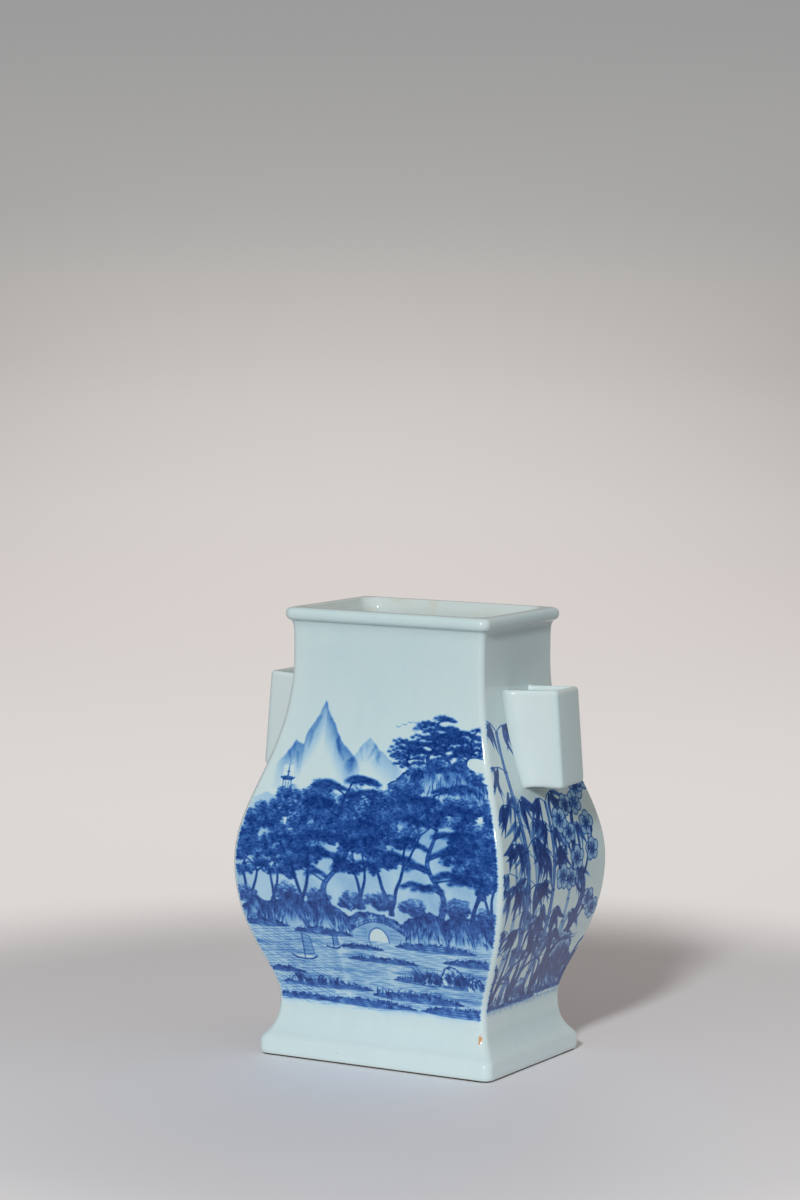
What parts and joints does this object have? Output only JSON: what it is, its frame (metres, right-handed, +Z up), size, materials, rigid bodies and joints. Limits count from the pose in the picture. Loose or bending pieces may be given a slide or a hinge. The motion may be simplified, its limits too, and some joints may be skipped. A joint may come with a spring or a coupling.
{
  "type": "square zun vase",
  "caption": "Rectangular baluster vase of mitred wall slabs with a rolled rim, a spreading foot and two hollow lug handles, open at the mouth.",
  "frame": {"origin": "under the middle of the foot, on the surface that the vase stands on", "axes": "+Z up the vase, +X to its right end where one lug is, front face towards -Y"},
  "size_m": [0.228, 0.1508, 0.3],
  "materials": {
    "painted_glaze": "cobalt painting under a clear pale glaze, glossy",
    "plain_glaze": "pale bluish-white glaze, glossy",
    "foot_glaze": "pale bluish-white glaze, glossy, wiped back to brown-edged bare paste on the resting face"
  },
  "bodies": {
    "root": {"front_wall": "painted_glaze", "back_wall": "painted_glaze", "left_wall": "painted_glaze", "right_wall": "painted_glaze", "base_slab": "plain_glaze", "foot_front_strip": "foot_glaze", "foot_back_strip": "foot_glaze", "foot_left_strip": "foot_glaze", "foot_right_strip": "foot_glaze", "rim_front_strip": "plain_glaze", "rim_back_strip": "plain_glaze", "rim_left_strip": "plain_glaze", "rim_right_strip": "plain_glaze", "right_lug_outer_slab": "plain_glaze", "right_lug_front_slab": "plain_glaze", "right_lug_back_slab": "plain_glaze", "left_lug_outer_slab": "plain_glaze", "left_lug_front_slab": "plain_glaze", "left_lug_back_slab": "plain_glaze"}
  },
  "joints": []
}
